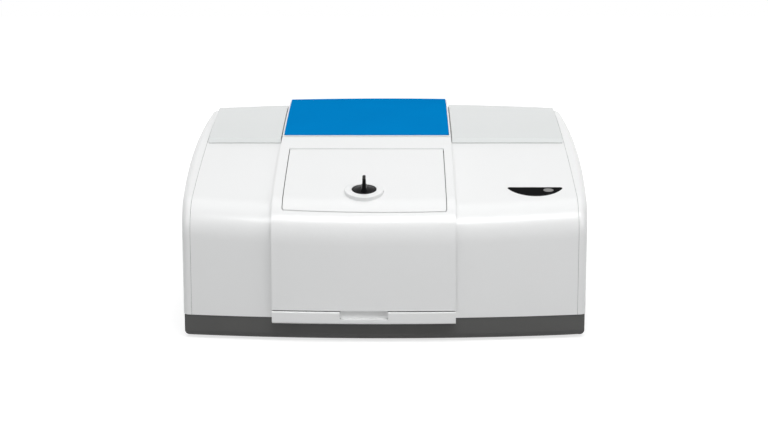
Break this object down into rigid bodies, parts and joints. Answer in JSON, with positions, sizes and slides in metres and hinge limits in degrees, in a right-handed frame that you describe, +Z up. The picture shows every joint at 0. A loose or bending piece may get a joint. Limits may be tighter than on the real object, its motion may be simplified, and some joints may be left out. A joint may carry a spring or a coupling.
{
  "type": "fourier transform infrared spectrometer",
  "caption": "White bench-top infrared spectrometer with a grey base, two hoods, a lifting middle cover with a lid and knob, and a blue rear cap.",
  "frame": {"origin": "under the middle of the instrument, on the surface that its feet stand on", "axes": "+X to the operator's right, -Y towards the operator, +Z up"},
  "size_m": [0.478, 0.391, 0.2401],
  "materials": {
    "white": "gloss",
    "pale_grey": "gloss",
    "base_grey": "satin",
    "blue": "satin",
    "black": "gloss",
    "silver": "satin",
    "rubber": "matte",
    "steel": "brushed",
    "cast": "satin",
    "black_metal": "satin",
    "plate": "satin",
    "salt": "polished",
    "card": "matte",
    "board": "satin"
  },
  "bodies": {
    "base": {"base_tray": "base_grey", "feet": "rubber", "optical_bench": "cast", "bench_screws": "steel", "left_hood": "white", "right_hood": "white", "left_cheek": "white", "right_cheek": "white", "left_rear_panel": "pale_grey", "right_rear_panel": "pale_grey", "front_sill": "white", "cover_hinge_ears": "steel", "cover_hinge_pins": "steel", "bridge_rear": "white", "blue_cap": "blue", "status_window": "black", "compartment_floor": "base_grey", "compartment_left_wall": "base_grey", "compartment_right_wall": "base_grey", "compartment_rear_wall": "base_grey", "left_beam_window": "salt", "right_beam_window": "salt", "left_window_ring": "black_metal", "right_window_ring": "black_metal", "sample_stand": "black_metal", "rear_plate": "plate", "mains_inlet": "black", "inlet_pins": "steel", "switch_body": "black", "data_socket": "steel", "source_housing": "black_metal", "beamsplitter_mount": "cast", "beamsplitter": "salt", "fixed_mirror": "cast", "scan_guide": "cast", "coil_magnet": "steel", "laser_tube": "cast", "focus_mirror": "cast", "detector": "black_metal", "control_board": "board", "power_supply": "plate"},
    "cover": {"centre_cover": "white", "lid_hinge_ears": "steel", "lid_hinge_pins": "steel"},
    "lid": {"port_lid": "white", "lid_gasket": "rubber", "lid_collar": "white"},
    "knob": {"knob": "black", "latch_arm": "steel", "latch_screw": "steel"},
    "button": {"power_button": "silver"},
    "rocker": {"switch_rocker": "black"},
    "card": {"sample_card": "card"},
    "mirror": {"moving_mirror": "cast"}
  },
  "joints": [
    {"name": "cover_hinge", "type": "hinge", "parent": "base", "child": "cover", "pos_m": [-0.02375, 0.0206, 0.20718], "axis": [-1, 0, 0], "range_deg": [0, 60]},
    {"name": "lid_hinge", "type": "hinge", "parent": "cover", "child": "lid", "pos_m": [-0.02375, -0.0221, 0.1985], "axis": [-1, 0, 0], "range_deg": [0, 70]},
    {"name": "knob_turn", "type": "hinge", "parent": "lid", "child": "knob", "pos_m": [-0.02375, -0.143, 0.16864], "axis": [0, -0.2409, 0.9706], "range_deg": [-90, 0]},
    {"name": "button_press", "type": "slide", "parent": "base", "child": "button", "axis": [0, 0.2812, -0.9596], "range_m": [0, 0.0008], "stiffness_N_per_m": 400},
    {"name": "rocker_tilt", "type": "hinge", "parent": "base", "child": "rocker", "pos_m": [-0.032, 0.177, 0.062], "axis": [1, 0, 0], "range_deg": [-12, 12]},
    {"name": "card_lift", "type": "slide", "parent": "base", "child": "card", "axis": [0, 0, 1], "range_m": [0, 0.03]},
    {"name": "mirror_scan", "type": "slide", "parent": "base", "child": "mirror", "axis": [0, 1, 0], "range_m": [-0.004, 0.004]}
  ]
}
